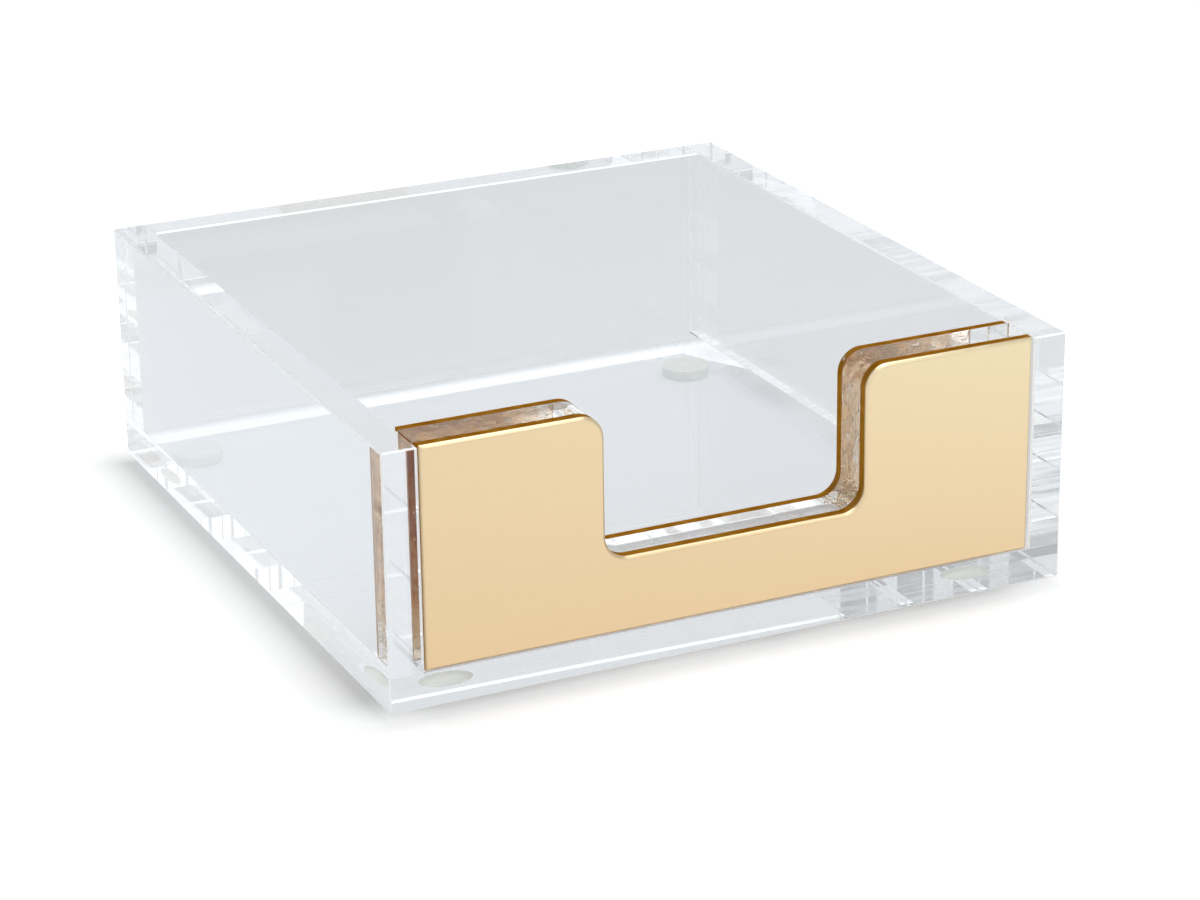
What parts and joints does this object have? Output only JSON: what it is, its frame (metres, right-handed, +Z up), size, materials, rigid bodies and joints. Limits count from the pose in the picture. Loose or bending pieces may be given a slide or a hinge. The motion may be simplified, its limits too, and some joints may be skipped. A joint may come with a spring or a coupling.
{
  "type": "acrylic desk tray",
  "caption": "Open-topped clear acrylic memo pad tray with a satin gold front panel that has a rounded finger notch, on low bumper feet.",
  "frame": {"origin": "centre of the footprint, on the surface that the feet stand on", "axes": "+X to the object's right seen from the front, +Y from the gold front to the back wall, +Z up"},
  "size_m": [0.12, 0.1264, 0.045],
  "materials": {
    "acrylic": "clear polished acrylic sheet, 6 mm, with diamond-polished edges",
    "gold": "satin gold plate with polished edges",
    "tape": "clear double-sided tape, wetted out in patches",
    "bumper": "translucent soft polyurethane bumper"
  },
  "bodies": {
    "root": {"base_plate": "acrylic", "left_wall": "acrylic", "right_wall": "acrylic", "back_wall": "acrylic", "front_wall": "acrylic", "front_gold_plate": "gold", "rear_gold_plate": "gold", "front_tape_left": "tape", "front_tape_right": "tape", "rear_tape_left": "tape", "rear_tape_right": "tape", "foot_front_left": "bumper", "foot_front_right": "bumper", "foot_rear_left": "bumper", "foot_rear_right": "bumper"}
  },
  "joints": []
}
